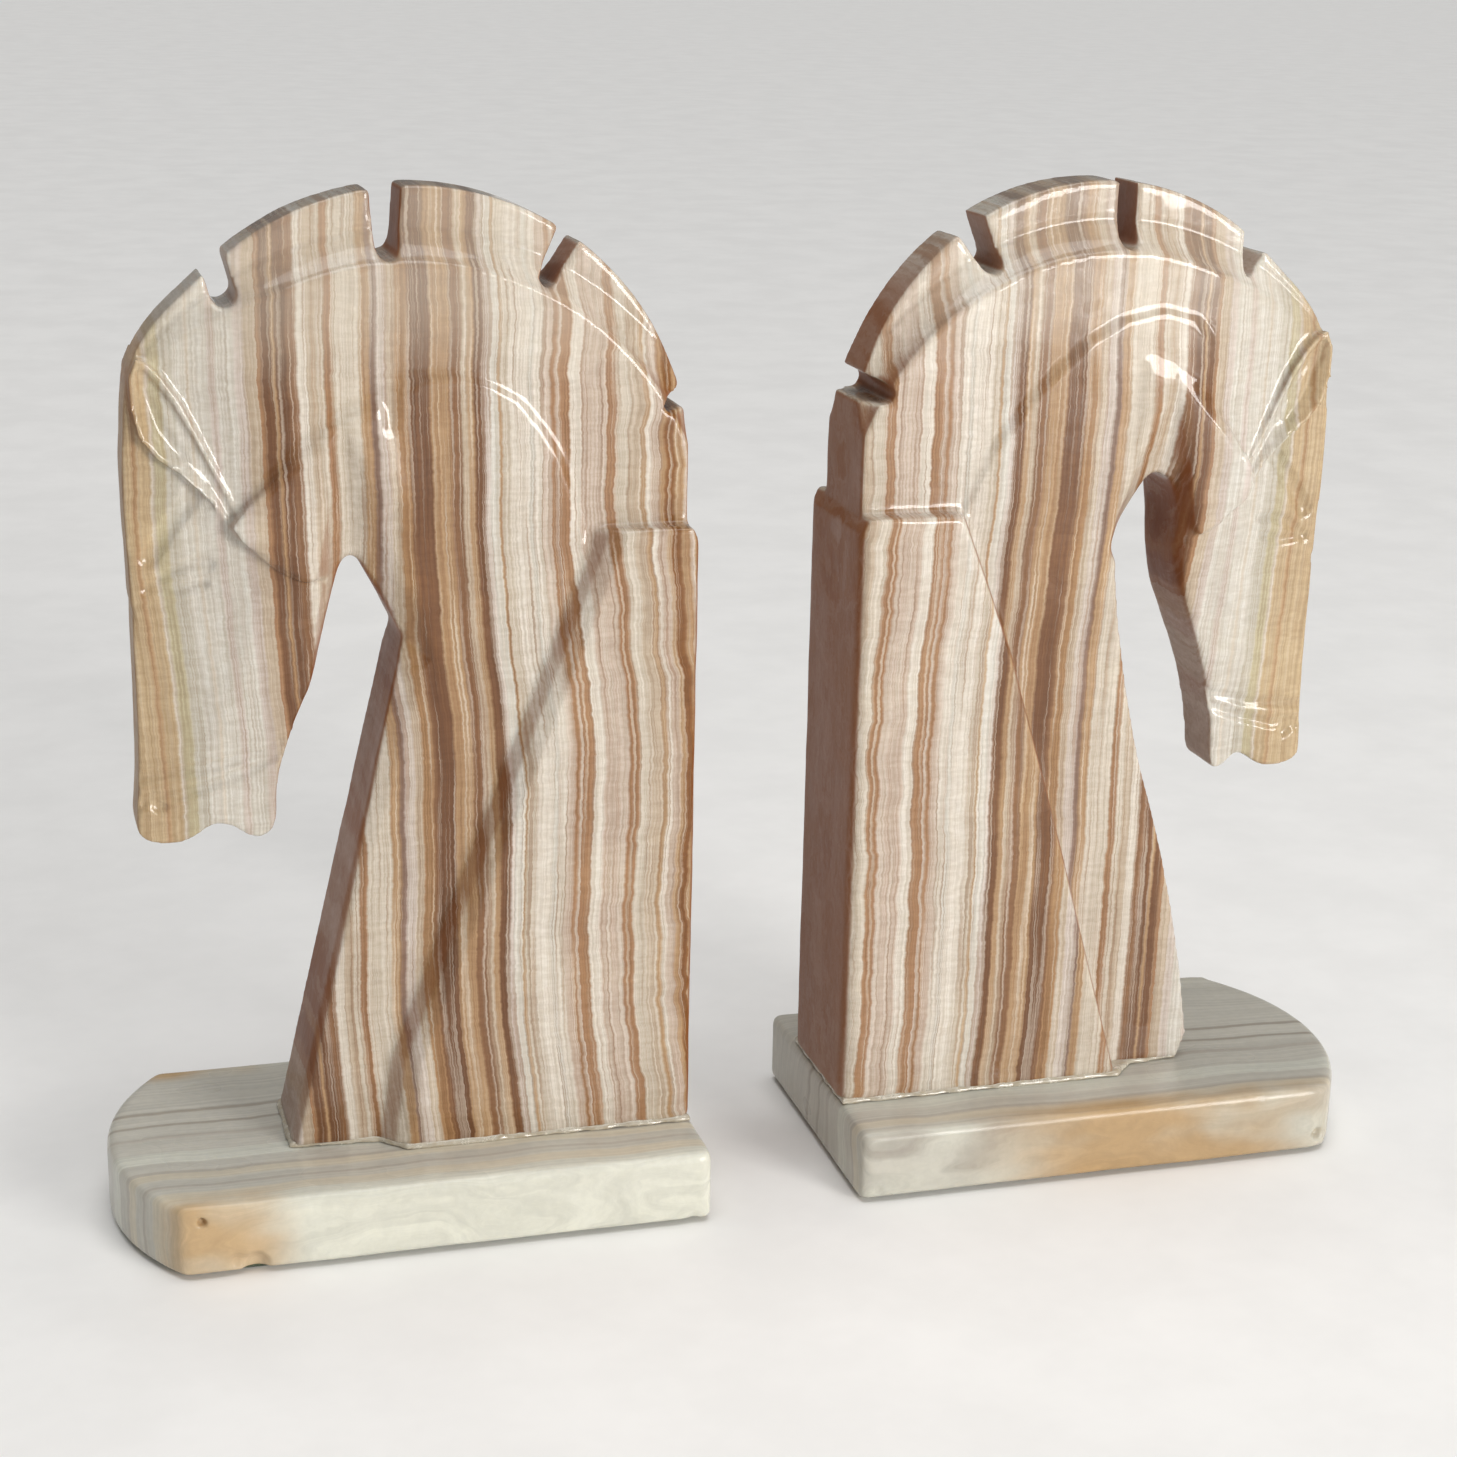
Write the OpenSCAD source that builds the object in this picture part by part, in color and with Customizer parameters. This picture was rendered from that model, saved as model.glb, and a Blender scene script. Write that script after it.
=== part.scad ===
// Pair of carved onyx horse-head bookends, the right one the mirror of the left.
// Each one is drawn with its book end at x = 0 and its nose towards +X, then put in its place.

/* [Pair] */
// Space left for books between the two bases
book_gap = 34; // [2:1:150]

/* [Felt pad] */
// Thickness of the felt under the base
felt_t = 1; // [0.5:0.1:3]
// How far the felt stays inside the edge of the base
felt_margin = 3; // [1:0.5:8]

/* [Base] */
// Width of the base across the shelf
base_w = 70; // [56:1:90]
// Length of the base from the book end to the top of the bowed end
base_l = 126; // [104:1:160]
// Thickness of the base
base_t = 15.5; // [12:0.5:24]
// How far the bowed end swells beyond the straight sides
bow = 13; // [8:1:24]
// Rounding of the upright corners at the book end
base_corner_r = 2; // [0.5:0.5:5]

/* [Joint between head and base] */
// Thickness of the resin bed
bed_t = 0.5; // [0.2:0.1:1.5]
// Resin squeezed out beyond the foot of the head
bead_w = 1; // [0.4:0.1:2]
// Diameter of the steel dowels
dowel_d = 8; // [5:0.5:10]
// Space for resin around each dowel
dowel_gap = 0.25; // [0.1:0.05:0.5]
// Stone left under the dowel holes in the base
base_web = 5.5; // [3:0.5:8]
// Depth of the dowel holes in the head
head_hole_depth = 20; // [12:1:35]
// Space left above each dowel
dowel_end_gap = 1; // [0.5:0.5:3]
// Distance of the rear dowel from the book end
rear_dowel_x = 22; // [14:1:26]
// Distance between the two dowels
dowel_pitch = 36; // [20:1:44]

/* [Rear block] */
// Thickness of the block across the shelf
block_t = 36; // [30:1:46]
// Length of the block at its foot
block_foot_l = 65; // [54:1:78]
// Length of the block at its top
block_top_l = 20.5; // [14:0.5:30]
// Height of the block above the foot of the head
block_h = 134; // [110:1:160]
// Set-back of the block from the book end of the base
block_inset = 0.5; // [0:0.25:3]
// Rounding of the block's upright edges
block_edge_r = 3; // [1:0.5:6]
// Width of the slanted step from the block down to the neck
step_w = 6; // [2:0.5:9]

/* [Neck] */
// Thickness of the neck
neck_t = 26; // [21:1:30]
// Width of the flat front of the chest
chest_t = 19; // [12:1:24]
// Reach of the neck's foot from the book end
neck_foot_l = 88; // [74:1:98]
// Distance of the throat corner from the book end
throat_x = 62; // [52:1:70]
// Height of the throat corner above the foot of the head
throat_h = 111; // [92:1:125]
// Width of the bevel between the neck and the chest front
chest_bevel = 4.5; // [2:0.5:8]

/* [Mane] */
// Radius of the mane's outline
mane_r = 58; // [50:1:68]
// Distance of the mane's centre from the book end
mane_x = 58.5; // [54:0.5:66]
// Height of the mane's centre above the foot of the head
mane_h = 145; // [125:1:170]
// Thickness of the mane at its crest
mane_t = 13; // [9:1:18]
// Width of the thin crest
crest_w = 10; // [6:1:14]
// Width of the bevel between the crest and the neck
crest_bevel = 5; // [2:1:8]
// Set-back of the mane behind the book face
mane_inset = 2; // [0.5:0.5:5]
// Width of the saw cuts across the mane
slot_w = 5; // [3:0.5:7]

/* [Head] */
// Distance of the forehead and nose from the book end
face_x = 116.5; // [104:0.5:125]
// Thickness of the face and the muzzle
face_t = 15; // [10:1:20]
// Height of the muzzle's underside above the foot of the head
muzzle_h = 68.5; // [56:0.5:80]
// Length of the muzzle at its underside
muzzle_l = 28; // [23:1:32]
// Thickness of the jaw between the cheek and the muzzle
jaw_t = 21; // [17:1:25]
// Radius of the round cheek
cheek_r = 19.5; // [15:0.5:23]
// Thickness of the head across the cheeks
cheek_t = 28; // [26:1:34]
// Distance of the cheek's centre back from the nose line
cheek_back = 40.5; // [36:0.5:46]
// Height of the cheek's centre above the foot of the head
cheek_h = 143; // [125:1:160]
// Thickness across the two ears
ear_t = 20; // [16:1:25]

/* [Hidden] */
$fn = 64;

base_z = felt_t;
bed_z = base_z + base_t;
foot_z = bed_z + bed_t;
side_l = base_l - bow;
bow_r = (pow(base_w / 2, 2) + pow(bow, 2)) / (2 * bow);
base_hole_depth = base_t - base_web;
dowel_l = base_hole_depth + bed_t + head_hole_depth - dowel_end_gap;
hole_d = dowel_d + 2 * dowel_gap;
dowel_xs = [rear_dowel_x, rear_dowel_x + dowel_pitch];
block_run = block_foot_l - block_top_l;
chest_run = neck_foot_l - throat_x;
muzzle_x = face_x - muzzle_l;
cheek_x = face_x - cheek_back;
overlap = 1;

// Saw cuts across the mane: place round the arc, lean from level, and depth
slots = [[43, 79, 10], [83.5, 91, 14], [126, 114, 12], [166, 156, 6]];

// Puts a left (side = -1) or right (side = 1) bookend in its place on the shelf
module stand(side) {
    translate([side * book_gap / 2, 0, 0])
        mirror([side < 0 ? 1 : 0, 0, 0])
            children();
}

// A flat outline in x and height, given a thickness across the shelf
module slab(thickness) {
    rotate([90, 0, 0])
        linear_extrude(thickness, center = true)
            children();
}

// Plan of the base: straight sides and one bowed end
module base_plan(margin = 0) {
    half_w = base_w / 2 - margin;
    intersection() {
        translate([margin, -half_w])
            square([base_l - 2 * margin, 2 * half_w]);
        union() {
            translate([margin, -half_w])
                square([base_l - bow_r - margin + overlap, 2 * half_w]);
            translate([base_l - bow_r, 0])
                circle(r = bow_r - margin, $fn = 180);
        }
    }
}

module base() {
    color("gainsboro")
    difference() {
        translate([0, 0, base_z])
            linear_extrude(base_t)
                intersection() {
                    base_plan();
                    union() {
                        translate([base_corner_r, -base_w / 2])
                            square([base_l, base_w]);
                        translate([0, base_corner_r - base_w / 2])
                            square([base_l, base_w - 2 * base_corner_r]);
                        for (side = [-1, 1])
                            translate([base_corner_r, side * (base_w / 2 - base_corner_r)])
                                circle(r = base_corner_r);
                    }
                }
        for (x = dowel_xs)
            translate([x, 0, base_z + base_web])
                cylinder(d = hole_d, h = base_t);
    }
}

module felt_pad() {
    color("darkolivegreen")
    linear_extrude(felt_t)
        base_plan(felt_margin);
}

module dowel(x) {
    color("silver")
    translate([x, 0, base_z + base_web])
        cylinder(d = dowel_d, h = dowel_l);
}

// Where the head stands on the base
module foot_plan(grow = 0) {
    translate([block_inset + min(grow, 0), -block_t / 2 - grow])
        square([block_foot_l + grow - min(grow, 0), block_t + 2 * grow]);
    translate([block_inset, -neck_t / 2 - grow])
        square([neck_foot_l - chest_bevel - block_inset + grow, neck_t + 2 * grow]);
    translate([block_inset, -chest_t / 2 - grow])
        square([neck_foot_l - block_inset + grow, chest_t + 2 * grow]);
}

module adhesive_bed() {
    color("wheat")
    difference() {
        translate([0, 0, bed_z])
            linear_extrude(bed_t)
                foot_plan(bead_w);
        for (x = dowel_xs)
            translate([x, 0, bed_z - overlap])
                cylinder(d = hole_d, h = bed_t + 2 * overlap);
    }
}

// Outline of the rear block, lengthened by extra along its sloping side
module block_outline(extra = 0) {
    polygon([
        [block_inset, 0],
        [block_inset + block_foot_l + extra, 0],
        [block_inset + block_top_l + extra, block_h],
        [block_inset + mane_inset, block_h],
        [block_inset, block_h - 2 * mane_inset]
    ]);
}

module rear_block() {
    intersection() {
        slab(block_t) block_outline();
        linear_extrude(block_h)
            union() {
                translate([block_inset + block_edge_r, -block_t / 2])
                    square([base_l, block_t]);
                translate([block_inset, block_edge_r - block_t / 2])
                    square([base_l, block_t - 2 * block_edge_r]);
                for (side = [-1, 1])
                    translate([block_inset + block_edge_r, side * (block_t / 2 - block_edge_r)])
                        circle(r = block_edge_r);
            }
    }
    slab((block_t + neck_t) / 2) block_outline(step_w);
}

// Neck from the foot up to the mane, stopping a bevel's width short of the chest when inset is set
module neck_outline(inset = 0) {
    polygon([
        [block_inset + mane_inset, 0],
        [neck_foot_l - inset, 0],
        [throat_x - inset, throat_h],
        [throat_x + 9 - inset, throat_h + 17],
        [cheek_x, cheek_h - cheek_r],
        [cheek_x, mane_h],
        [block_inset + mane_inset, mane_h]
    ]);
}

// Disc of the mane, cut straight at the book face and above the block
module mane_disc(radius) {
    intersection() {
        translate([mane_x, mane_h])
            circle(r = radius, $fn = 180);
        translate([block_inset + mane_inset, mane_h - overlap])
            square([base_l, 2 * mane_r]);
    }
}

module slot_cuts() {
    for (slot = slots)
        translate([mane_x + (mane_r - slot[2]) * cos(slot[0]), mane_h + (mane_r - slot[2]) * sin(slot[0])])
            rotate(slot[1] - 90) {
                circle(d = slot_w);
                translate([-slot_w / 2, 0])
                    square([slot_w, slot[2] + mane_r / 4]);
            }
}

module face_outline() {
    polygon([
        [muzzle_x, muzzle_h + 7],
        [muzzle_x + 1.5, muzzle_h + 1],
        [muzzle_x + 6, muzzle_h],
        [muzzle_x + 11, muzzle_h + 4],
        [muzzle_x + 16, muzzle_h + 0.5],
        [face_x - 2, muzzle_h],
        [face_x, muzzle_h + 3],
        [face_x, cheek_h + 22],
        [face_x - 3, cheek_h + 28],
        [cheek_x, cheek_h + 28],
        [cheek_x, cheek_h - cheek_r],
        [muzzle_x - 10, muzzle_h + 44],
        [muzzle_x - 8, muzzle_h + 33],
        [muzzle_x - 3, muzzle_h + 22]
    ]);
}

module jaw_outline() {
    polygon([
        [muzzle_x - 10, muzzle_h + 44],
        [muzzle_x - 8, muzzle_h + 33],
        [muzzle_x - 4, muzzle_h + 26],
        [muzzle_x + 6, muzzle_h + 30],
        [face_x - 10, cheek_h - 8],
        [face_x - 14, cheek_h + 18],
        [cheek_x, cheek_h + 24],
        [cheek_x - 12, cheek_h],
        [cheek_x - 3, cheek_h - cheek_r + 3]
    ]);
}

module ear_outline() {
    polygon([
        [face_x - 4, cheek_h + 27],
        [face_x - 1.8, cheek_h + 22],
        [face_x - 2.5, cheek_h + 15],
        [face_x - 6, cheek_h + 9],
        [face_x - 12, cheek_h + 5],
        [face_x - 21.5, cheek_h - 5.5],
        [face_x - 15.5, cheek_h + 10],
        [face_x - 11, cheek_h + 19]
    ]);
}

module horse_head() {
    color("tan")
    translate([0, 0, foot_z])
    difference() {
        union() {
            rear_block();
            slab(neck_t) neck_outline(chest_bevel);
            slab(chest_t) neck_outline();
            slab(mane_t) mane_disc(mane_r);
            slab((mane_t + neck_t) / 2) mane_disc(mane_r - crest_w);
            slab(neck_t) mane_disc(mane_r - crest_w - crest_bevel);
            slab(face_t) face_outline();
            slab(jaw_t) jaw_outline();
            slab(ear_t) ear_outline();
            translate([cheek_x, 0, cheek_h])
                rotate([90, 0, 0])
                    cylinder(r = cheek_r, h = cheek_t, center = true);
        }
        slab(block_t) slot_cuts();
        for (x = dowel_xs)
            translate([x, 0, -overlap])
                cylinder(d = hole_d, h = head_hole_depth + overlap);
    }
}

stand(-1) base();  // left_base
stand(-1) horse_head();  // left_horse_head
stand(-1) adhesive_bed();  // left_adhesive_bed
stand(-1) dowel(dowel_xs[0]);  // left_rear_dowel
stand(-1) dowel(dowel_xs[1]);  // left_front_dowel
stand(-1) felt_pad();  // left_felt_pad
stand(1) base();  // right_base
stand(1) horse_head();  // right_horse_head
stand(1) adhesive_bed();  // right_adhesive_bed
stand(1) dowel(dowel_xs[0]);  // right_rear_dowel
stand(1) dowel(dowel_xs[1]);  // right_front_dowel
stand(1) felt_pad();  // right_felt_pad
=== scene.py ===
import math

import bpy
import numpy as np
from mathutils import Matrix, Vector


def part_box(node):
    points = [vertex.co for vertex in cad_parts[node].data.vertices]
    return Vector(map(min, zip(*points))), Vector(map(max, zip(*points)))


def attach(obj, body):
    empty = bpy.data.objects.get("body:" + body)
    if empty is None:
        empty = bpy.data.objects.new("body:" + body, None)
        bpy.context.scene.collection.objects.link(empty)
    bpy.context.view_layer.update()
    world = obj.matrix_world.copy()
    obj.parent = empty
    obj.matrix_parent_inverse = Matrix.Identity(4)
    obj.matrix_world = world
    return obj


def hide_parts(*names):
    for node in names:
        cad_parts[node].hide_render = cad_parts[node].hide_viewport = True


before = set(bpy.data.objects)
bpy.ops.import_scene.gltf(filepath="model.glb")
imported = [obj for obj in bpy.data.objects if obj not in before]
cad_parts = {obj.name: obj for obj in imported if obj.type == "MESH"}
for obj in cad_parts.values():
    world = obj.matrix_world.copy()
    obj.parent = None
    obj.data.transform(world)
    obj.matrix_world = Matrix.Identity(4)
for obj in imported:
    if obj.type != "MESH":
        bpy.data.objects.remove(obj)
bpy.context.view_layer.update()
bpy.ops.object.select_all(action="DESELECT")
print("frame loaded:", len(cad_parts), "CAD nodes")

mm = 0.001
sides = {"left": -1, "right": 1}
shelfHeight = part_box("right_felt_pad")[0].z
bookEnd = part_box("right_base")[0].x  # each bookend is shaped from its book end towards its nose
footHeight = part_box("right_horse_head")[0].z
baseLow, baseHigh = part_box("right_base")


def useOnly(piece):
    if bpy.context.object and bpy.context.object.mode != "OBJECT":
        bpy.ops.object.mode_set(mode="OBJECT")
    bpy.ops.object.select_all(action="DESELECT")
    piece.select_set(True)
    bpy.context.view_layer.objects.active = piece


def editAll(piece):
    useOnly(piece)
    bpy.ops.object.mode_set(mode="EDIT")
    bpy.ops.mesh.select_all(action="SELECT")


def leaveEdit():
    bpy.ops.object.mode_set(mode="OBJECT")


def applyAll(piece):
    useOnly(piece)
    for modifier in list(piece.modifiers):
        bpy.ops.object.modifier_apply(modifier=modifier.name)


def throwAway(piece):
    bpy.data.objects.remove(piece, do_unlink=True)


def arcPoints(centre, radius, fromDegrees, toDegrees, steps):
    turns = [math.radians(fromDegrees + (toDegrees - fromDegrees) * i / steps) for i in range(steps + 1)]
    return [(centre[0] + radius * math.cos(t), centre[1] + radius * math.sin(t)) for t in turns]


def prism(corners, push):  # a flat outline of corners in mm, extruded by the push
    bpy.ops.object.select_all(action="DESELECT")
    bpy.ops.mesh.primitive_circle_add(vertices=len(corners), fill_type="NGON")
    piece = bpy.context.object
    for vertex, corner in zip(piece.data.vertices, corners):
        vertex.co = [c * mm for c in corner]
    editAll(piece)
    bpy.ops.mesh.extrude_region_move(TRANSFORM_OT_translate={"value": [c * mm for c in push]})
    bpy.ops.mesh.select_all(action="SELECT")
    bpy.ops.mesh.normals_make_consistent(inside=False)
    leaveEdit()
    return piece


def softLine(points, steps=3):  # a smooth curve through the points
    ends = [points[0]] + points + [points[-1]]
    curve = []
    for p0, p1, p2, p3 in zip(ends[:-3], ends[1:-2], ends[2:-1], ends[3:]):
        for step in range(steps):
            t = step / steps
            point = []
            for a, b, c, d in zip(p0, p1, p2, p3):
                bend = 2 * a - 5 * b + 4 * c - d + t * (3 * (b - c) + d - a)
                point.append(b + 0.5 * t * (c - a + t * bend))
            curve.append(tuple(point))
    return curve + [points[-1]]


def loft(nearOutline, nearY, farOutline, farY):  # two outlines joined across the shelf, seen from the side
    piece = prism([(x, nearY, z) for x, z in nearOutline], (0, farY - nearY, 0))
    middle = (nearY + farY) / 2
    for vertex in piece.data.vertices:
        place = vertex.co / mm
        if (place.y > middle) == (farY > nearY):
            gaps = [math.hypot(place.x - x, place.z - z) for x, z in nearOutline]
            x, z = farOutline[gaps.index(min(gaps))]
            vertex.co = (x * mm, farY * mm, z * mm)
    return piece


def slab(outline, halfThickness):
    return loft(outline, -halfThickness, outline, halfThickness)


def sawOff(piece, point, normal):  # cuts away what lies on the normal's side and closes the cut
    editAll(piece)
    plane = Vector(normal).normalized()
    bpy.ops.mesh.bisect(plane_co=[c * mm for c in point], plane_no=plane, clear_outer=True, use_fill=True)
    leaveEdit()


def roundEdges(piece, isWanted, width):  # bevels the edges that isWanted picks by their two ends, in mm
    useOnly(piece)
    bpy.context.tool_settings.mesh_select_mode = (False, True, False)
    mesh = piece.data
    for part in (mesh.vertices, mesh.edges, mesh.polygons):
        part.foreach_set("select", [False] * len(part))
    for edge in mesh.edges:
        a, b = (mesh.vertices[i].co / mm for i in edge.vertices)
        edge.select = isWanted(a, b)
    bpy.ops.object.mode_set(mode="EDIT")
    bpy.ops.mesh.bevel(offset=width * mm, segments=3, affect="EDGES")
    leaveEdit()


def cutWith(piece, cutter):
    useOnly(piece)
    cut = piece.modifiers.new("cut", "BOOLEAN")
    cut.operation = "DIFFERENCE"
    cut.solver = "EXACT"
    cut.object = cutter
    bpy.ops.object.modifier_apply(modifier=cut.name)


def cutBothSides(pieces, nearOutline, nearY, farOutline, farY):
    for side in (-1, 1):
        cutter = loft(nearOutline, side * nearY, farOutline, side * farY)
        for piece in pieces:
            cutWith(piece, cutter)
        throwAway(cutter)


dowelHole = {"sideGap": 0.25, "endGap": 0.3, "corners": 40}  # clearances round a dowel in mm


def drillDowels(piece):  # clearance holes for the two dowels, bored from their own places
    for dowel in ("right_rear_dowel", "right_front_dowel"):
        low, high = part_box(dowel)
        middle = (low + high) / 2
        bpy.ops.object.select_all(action="DESELECT")
        bpy.ops.mesh.primitive_cylinder_add(vertices=dowelHole["corners"],
                                            radius=(high.x - low.x) / 2 + dowelHole["sideGap"] * mm,
                                            depth=high.z - low.z + 2 * dowelHole["endGap"] * mm,
                                            location=(middle.x - bookEnd, middle.y, middle.z))
        bore = bpy.context.object
        bpy.ops.object.transform_apply(location=True, rotation=True, scale=True)
        cutWith(piece, bore)
        throwAway(bore)


def joinParts(name, parts):
    bpy.ops.object.select_all(action="DESELECT")
    for part in parts:
        part.select_set(True)
    bpy.context.view_layer.objects.active = parts[0]
    bpy.ops.object.join()
    parts[0].name = name
    parts[0].data.name = name
    return parts[0]


def meshPlaces(piece):
    places = np.empty(len(piece.data.vertices) * 3)
    piece.data.vertices.foreach_get("co", places)
    return places.reshape(-1, 3) / mm


def weighVertices(piece, name, weights):
    group = piece.vertex_groups.new(name=name)
    rounded = np.round(weights, 2)
    for value in np.unique(rounded):
        if value > 0:
            group.add(np.nonzero(rounded == value)[0].tolist(), float(value), "REPLACE")


def distanceToLine(places, line):  # both in mm, seen from the side
    flat = places[:, [0, 2]]
    nearest = np.full(len(flat), 1e9)
    for start, end in zip(line[:-1], line[1:]):
        start, run = np.array(start, float), np.array(end, float) - np.array(start, float)
        share = np.clip(((flat - start) @ run) / (run @ run), 0, 1)
        nearest = np.minimum(nearest, np.linalg.norm(flat - start - share[:, None] * run, axis=1))
    return nearest


cameraSetup = {
    "place": (-0.1641, -0.5409, 0.2758),
    "headingDegrees": 16.33,  # turned from straight across the shelf towards the right bookend
    "dipDegrees": 17.21,
    "tiltDegrees": 1.3,
    "lens": 66.3,
    "sensorWidth": 36,
    "nearClip": 0.01,
}


def makeCamera():
    heading = Matrix.Rotation(-math.radians(cameraSetup["headingDegrees"]), 4, "Z")
    dip = Matrix.Rotation(math.radians(90 - cameraSetup["dipDegrees"]), 4, "X")
    tilt = Matrix.Rotation(math.radians(cameraSetup["tiltDegrees"]), 4, "Z")
    bpy.ops.object.camera_add(location=cameraSetup["place"])
    camera = bpy.context.object
    camera.name = "camera"
    camera.rotation_euler = (heading @ dip @ tilt).to_euler()
    camera.data.lens = cameraSetup["lens"]
    camera.data.sensor_width = cameraSetup["sensorWidth"]
    camera.data.clip_start = cameraSetup["nearClip"]
    bpy.context.scene.camera = camera


makeCamera()


# Outlines are (distance from the book end, height above the shelf) in mm, with the nose to the right.
# The face plane is (distance from the book end, distance from the middle), the jaw plane (distance from the
# middle, height) and the cove (distance from its centre, distance from the middle).

headShape = {
    "maneCentre": (58.5, 162),
    "maneRadius": 58,
    "maneEnd": 47,  # degrees above level where the mane meets the forehead
    "maneSteps": 48,
    "backCut": 2,  # the neck's back stands in from the book end
    "neckHalf": 12.4,
    "plateauHalf": 13.3,
    "plateauLean": 0.012,
    "plateauPivot": (50, 165),
    "cheekHalf": 13.9,
    "cutReach": 30,  # half length of a mane cutter
    "coveCentre": (60, 143),
    "coveProfile": [(62.5, 13.2), (63.2, 10.9), (64.6, 8.9), (66.6, 7.4), (69, 6.5), (100, 6.5), (100, 20),
                    (62.5, 20)],
    "coveSteps": 90,
    "facePlane": [(79, 13.8), (90, 11), (103, 8.2), (118, 6.8), (126, 6.6), (126, 20), (79, 20)],
    "facePlaneRise": (80, 150),  # the height where its cutter starts, and how tall that is
    "jawPlane": [(11.6, 145), (9.6, 120), (7.2, 92), (6.6, 84), (6.6, 80), (20, 80), (20, 145)],
    "jawPlaneRun": (77, 50),  # where its cutter starts from the book end, and how long that is
    "flareDepths": (8.5, 14),
    "bevelDepths": (10, 14),
    "voxel": 0.62,
    "polishPasses": 7,
    "throatPasses": 26,
    "throatBox": (58, 93, 90, 184),  # from and to along the head, from and to in height
    "throatSlant": 0.9,
    "lumpSize": 14,
    "lumpHeight": 0.35,
    "faceLimit": 190000,
}
blockShape = {
    "half": 18,
    "bookFace": 0.5,
    "top": 151,
    "topSlope": (147.5, 2.2),  # height where the top edge starts to slope, and how far in it ends
    "stepMiddle": (0.46, 16.2),  # share of the step's run, half thickness there
    "stepEnd": 12.4,
    "bookEdge": 3,
    "topEdge": 1.2,
}

forehead = [(98.8, 203.8), (103.5, 199.6), (107.5, 195.8), (110.8, 192), (113.3, 188), (115, 184),
            (115.8, 179.5)]
noseLine = [(116.4, 172), (116.9, 163), (116.6, 150), (116.3, 137.5), (115.9, 136), (116.1, 124), (116, 111)]
muzzle = [(116.3, 100), (116.8, 93), (117, 89.6), (115.6, 87.4), (113, 86.2), (108.5, 86), (105.6, 87),
          (103, 88.8), (100.6, 89.6)]
chestFoot = (88, 17)
belowFoot = footHeight / mm - 1  # cutters reach past the foot of the neck

leftHead = {
    "reach": 1.0,
    "jaw": [(97.2, 88.8), (94.6, 86.8), (92, 86), (89.9, 86.9), (88.7, 89.4), (88.3, 93), (88.2, 97),
            (87, 103), (85, 109.5), (82.6, 115), (80.4, 120.5), (79.1, 126), (77.7, 131.5), (76.2, 137),
            (74.9, 142), (73.8, 144.9), (72.3, 146), (70.7, 145.2), (67.5, 139.5)],
    "neckFront": [(64.6, 134), (62, 128.5)],
    "flareNear": [(62, 128.2), (66, 136.4), (69.6, 143.6), (72.4, 150), (75.6, 142), (79.2, 130), (81, 119),
                  (72, 114)],
    "flareFar": [(53.8, 122.6), (57.4, 138), (65.4, 158), (74.6, 178), (77.2, 161), (80.6, 141),
                 (81.6, 122), (72, 112)],
    "chestNear": [(62.3, 128), (88.2, belowFoot), (100, belowFoot), (100, 112), (75, 128)],
    "chestFar": [(53, 124), (86, belowFoot), (100, belowFoot), (100, 112), (75, 128)],
    "stepRun": 6.5,
    "slots": [((98.6, 209.5), (95.9, 199.2), 2.5, 2.5), ((63.6, 225), (63.6, 207.7), 3.6, 2.2),
              ((23.8, 215.2), (31.2, 201.3), 3.2, 1.7), ((-6, 179.6), (6.2, 175.4), 3.6, 1.3)],
    "blockEdge": [(16, 151), (60.5, 36), (63, 17)],
    "plateau": [(22, 138), (27, 158), (29.5, 165.5), (33.4, 172), (38, 177.6), (44.2, 181), (51, 182.8),
                (57.5, 182.8), (62.6, 180.6), (63.8, 171), (62.6, 158), (60, 141), (55, 121), (61, 92),
                (64, 64), (40, 64)],
    "cheek": [(66, 178), (71.5, 176), (77, 173), (83.3, 167.4), (92.5, 158.4), (96.3, 154), (94.4, 151),
              (91.6, 148.2), (87.7, 144.8), (82.8, 142), (77.6, 141.4), (75.4, 143.5), (73.2, 147.5),
              (68, 152), (62.5, 160)],
}
rightHead = {
    "reach": 0.972,
    "jaw": [(99, 88.8), (97.2, 87), (95.4, 86.2), (94, 87.4), (93.4, 90.2), (93, 94), (92.4, 98.5),
            (91, 104), (89, 111), (85.8, 119.5), (82.6, 127.5), (80.4, 134.5), (79.7, 140), (80, 146),
            (79.3, 151), (77.2, 155), (74.2, 156.6), (71.3, 155), (67.6, 149.4), (65, 144.6), (64, 139.6),
            (64, 133.6), (64.9, 126), (66.9, 115), (69.9, 101.8), (73.8, 88), (78.2, 75), (82.9, 58.6),
            (87.6, 38), (90, 23)],
    "neckFront": [],
    "flareNear": [(63.4, 140), (65, 146), (67.8, 151), (71.2, 157.2), (76, 158), (80.2, 152), (80.2, 140),
                  (82.3, 128), (74, 128)],
    "flareFar": [(61.6, 140), (62, 147), (63.8, 154), (67, 164), (76, 180), (79.4, 163), (82, 143),
                 (83, 126), (74, 126)],
    "stepRun": 1.6,
    "slots": [((96.8, 211), (93.5, 200.2), 4.5, 1.1), ((63.6, 225), (63.4, 207.7), 2.2, 2.0),
              ((24.6, 215.2), (31.8, 203), 4.2, 2.2), ((-6, 179.4), (6.6, 176.6), 4, 2.4)],
    "blockEdge": [(23.9, 151), (30.8, 134.6), (36.5, 120.3), (47.8, 86), (56.4, 58.5), (69, 17)],
    "plateau": [(22, 138), (27, 152), (33, 165), (40, 174), (47, 181), (54, 187), (61.5, 191), (71, 193),
                (79, 191), (83.5, 185.5), (86.5, 176), (90, 164), (80, 162), (72, 161), (66, 155), (62, 145),
                (55, 121), (61, 92), (64, 64), (40, 64)],
    "cheek": [(68, 182), (75, 179), (82, 174), (89, 167), (95, 159), (96.3, 154), (94.4, 151), (91.6, 148.2),
              (87.7, 144.8), (83.6, 143), (81.4, 147), (80.9, 152), (78.8, 157), (74, 160.5), (66, 166)],
}
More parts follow.
